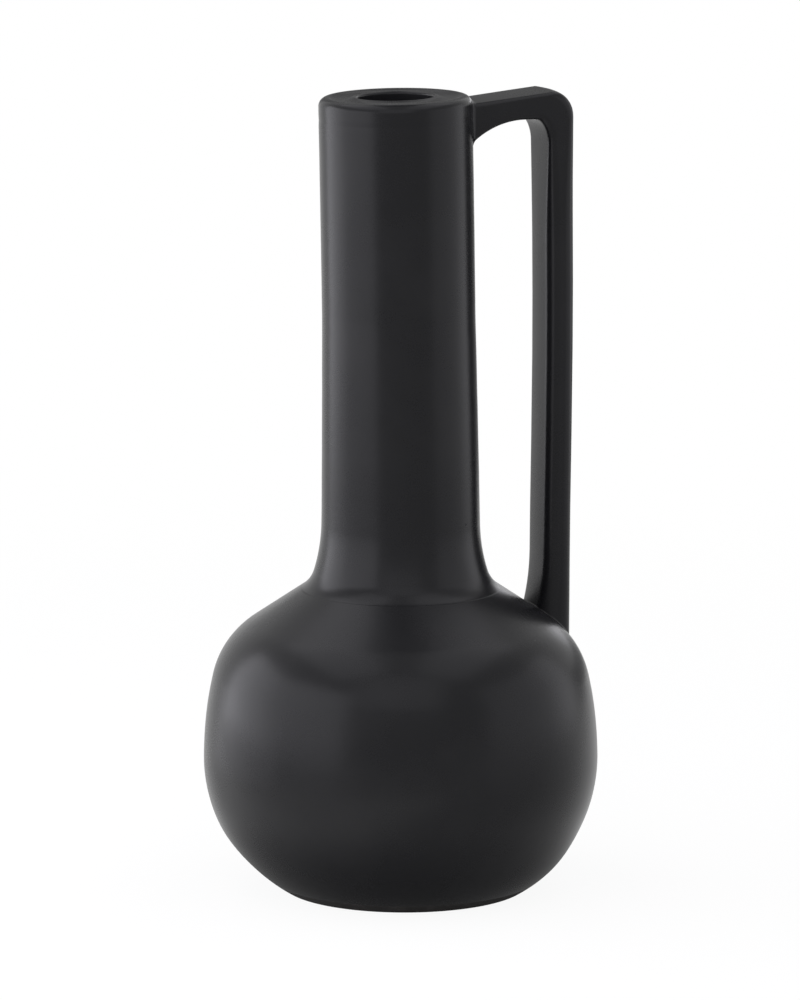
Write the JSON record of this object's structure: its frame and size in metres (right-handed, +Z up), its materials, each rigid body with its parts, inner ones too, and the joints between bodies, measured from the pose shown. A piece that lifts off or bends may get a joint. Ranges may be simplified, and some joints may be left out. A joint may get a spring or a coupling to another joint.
{
  "type": "lekythos",
  "caption": "Tall-necked ceramic oil bottle with a round belly, a thick rimmed mouth and one flat strap handle from shoulder to lip, in black glaze.",
  "frame": {"origin": "on the table at the centre of the foot ring, which is also the bottom centre of the bounding box", "axes": "+Z up the axis of the turned vessel and out of the mouth, +X towards the handle, +Y by the right-hand rule"},
  "size_m": [0.158, 0.158, 0.32],
  "materials": {
    "black_glaze": "satin",
    "bare_clay": "matte"
  },
  "bodies": {
    "root": {"foot_ring": "bare_clay", "belly": "black_glaze", "neck_luting": "black_glaze", "neck": "black_glaze", "mouth_ring": "black_glaze", "handle": "black_glaze", "upper_handle_luting": "black_glaze", "lower_handle_luting": "black_glaze"}
  },
  "joints": []
}
